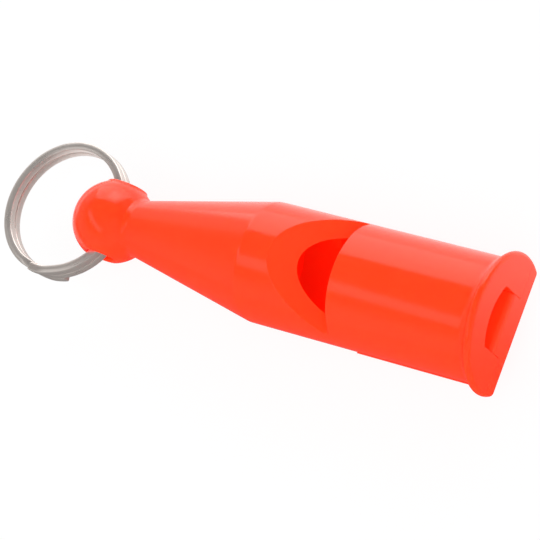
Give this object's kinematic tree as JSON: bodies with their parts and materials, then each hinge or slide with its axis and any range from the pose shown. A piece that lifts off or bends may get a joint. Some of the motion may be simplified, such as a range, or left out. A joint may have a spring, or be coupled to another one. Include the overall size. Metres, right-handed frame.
{
  "type": "dog whistle",
  "caption": "Pea-less moulded dog whistle with a flat lipped mouthpiece, a slanted window, a tapered tail ending in a ball, and a split ring that swings in the ball.",
  "frame": {"origin": "on the floor under the middle of the whole length, where the round belly rests at Z = 0", "axes": "+X from the mouth face to the split ring, +Z out of the window, Y across the mouthpiece along the ring's hole"},
  "size_m": [0.0772, 0.019, 0.0171],
  "materials": {
    "orange_plastic": "glossy moulded, slightly translucent orange",
    "ring_steel": "nickel-plated, bright with fine drawing lines"
  },
  "bodies": {
    "whistle": {"whistle_body": "orange_plastic", "windway_plug": "orange_plastic"},
    "ring": {"split_ring": "ring_steel"}
  },
  "joints": [
    {"name": "ring_swing", "type": "hinge", "parent": "whistle", "child": "ring", "pos_m": [0.02092, 0, 0.008], "axis": [0, 1, 0], "range_deg": [-150, 146]}
  ]
}
